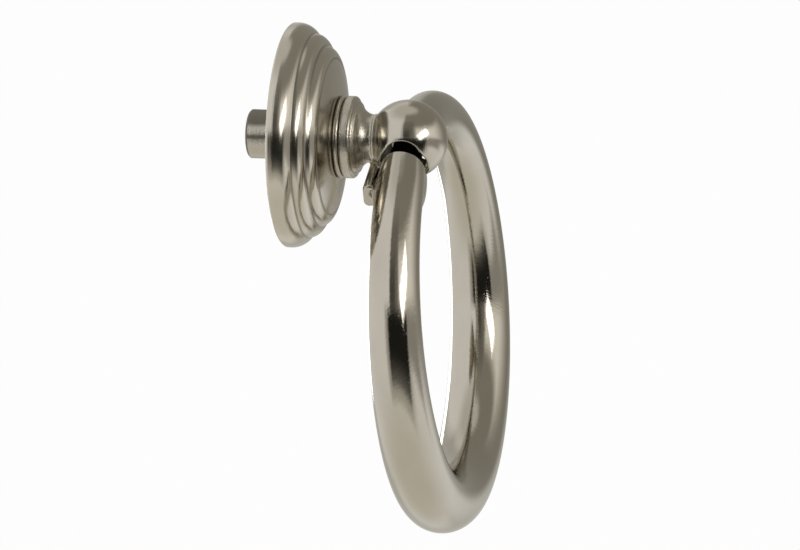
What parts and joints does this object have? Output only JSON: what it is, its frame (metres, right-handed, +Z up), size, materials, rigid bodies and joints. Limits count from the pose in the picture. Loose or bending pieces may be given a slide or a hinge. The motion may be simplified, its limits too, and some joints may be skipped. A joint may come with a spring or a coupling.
{
  "type": "ring pull handle",
  "caption": "Cabinet ring pull: a reeded round rose carries a turned post whose pierced ball head holds a tapered hanging ring.",
  "frame": {"origin": "centre of the rose's flat back, on the post's axis, in the face of the drawer front", "axes": "-Y points straight out of the drawer front, +Z is up, X runs along the hole that the ring hangs in"},
  "size_m": [0.0652, 0.0331, 0.079],
  "materials": {
    "satin_nickel": "solid brass, satin nickel plated"
  },
  "bodies": {
    "base": {"rose": "satin_nickel", "post": "satin_nickel"},
    "swinging_ring": {"ring": "satin_nickel"}
  },
  "joints": [
    {"name": "ring_swing", "type": "hinge", "parent": "base", "child": "swinging_ring", "pos_m": [0, -0.017, -0.00148], "axis": [-1, 0, 0], "range_deg": [0, 186]}
  ]
}
